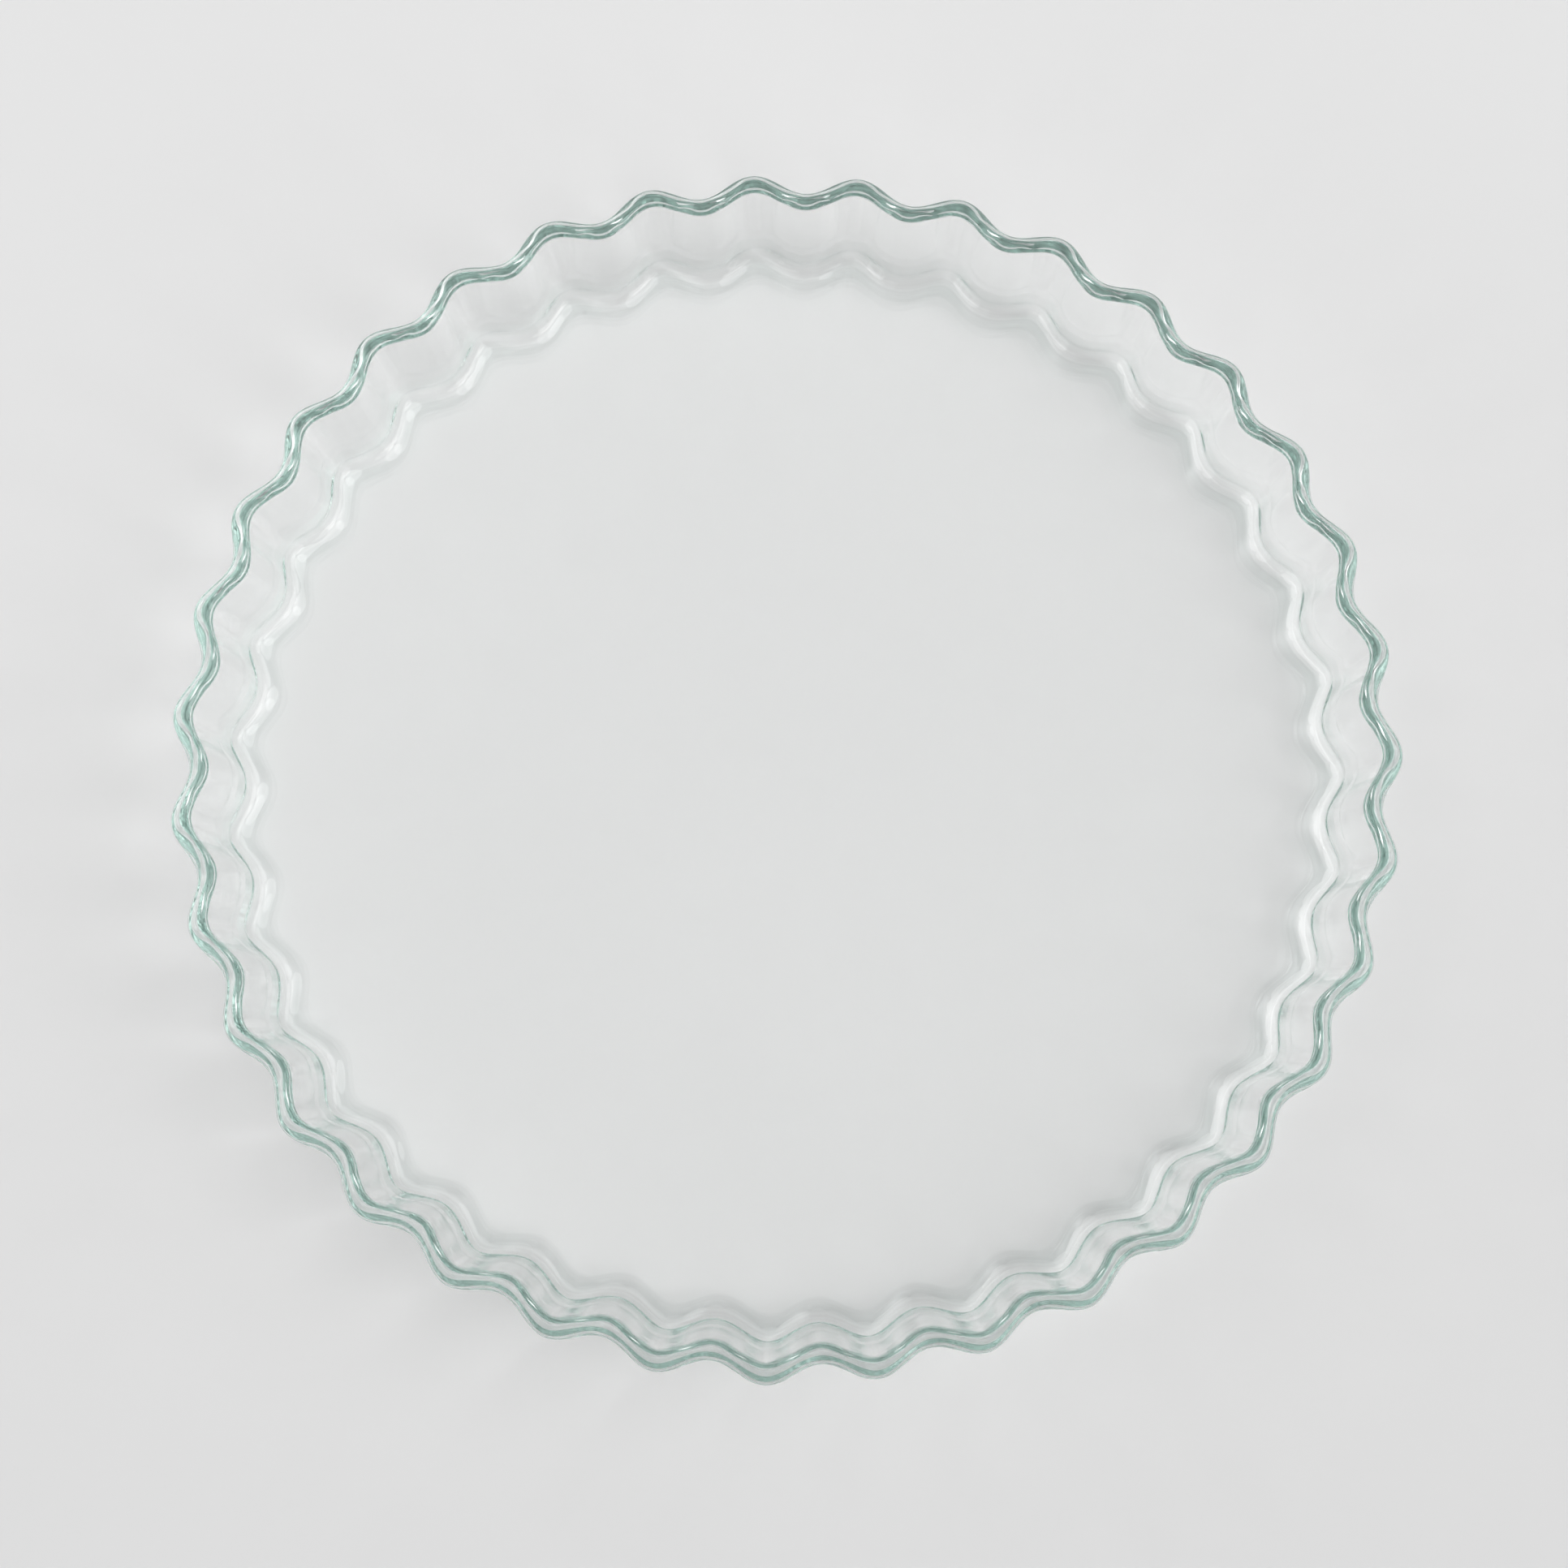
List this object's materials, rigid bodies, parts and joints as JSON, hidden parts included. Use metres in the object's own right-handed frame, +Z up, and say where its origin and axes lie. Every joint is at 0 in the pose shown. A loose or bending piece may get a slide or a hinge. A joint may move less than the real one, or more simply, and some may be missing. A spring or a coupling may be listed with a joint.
{
  "type": "fluted flan dish",
  "caption": "Shallow round baking dish of clear pressed glass with a fluted, outward-leaning wall, rounded rim and flat floor, for flans, quiches and tarts.",
  "frame": {"origin": "centre of the underside, on the surface that the dish stands on", "axes": "+Z up along the dish's round axis, +X through the tip of one flute"},
  "size_m": [0.2792, 0.2796, 0.031],
  "materials": {
    "clear_glass": "smooth fire-polished clear soda-lime glass, faintly green where it is seen edge-on"
  },
  "bodies": {
    "root": {"glass_dish": "clear_glass"}
  },
  "joints": []
}
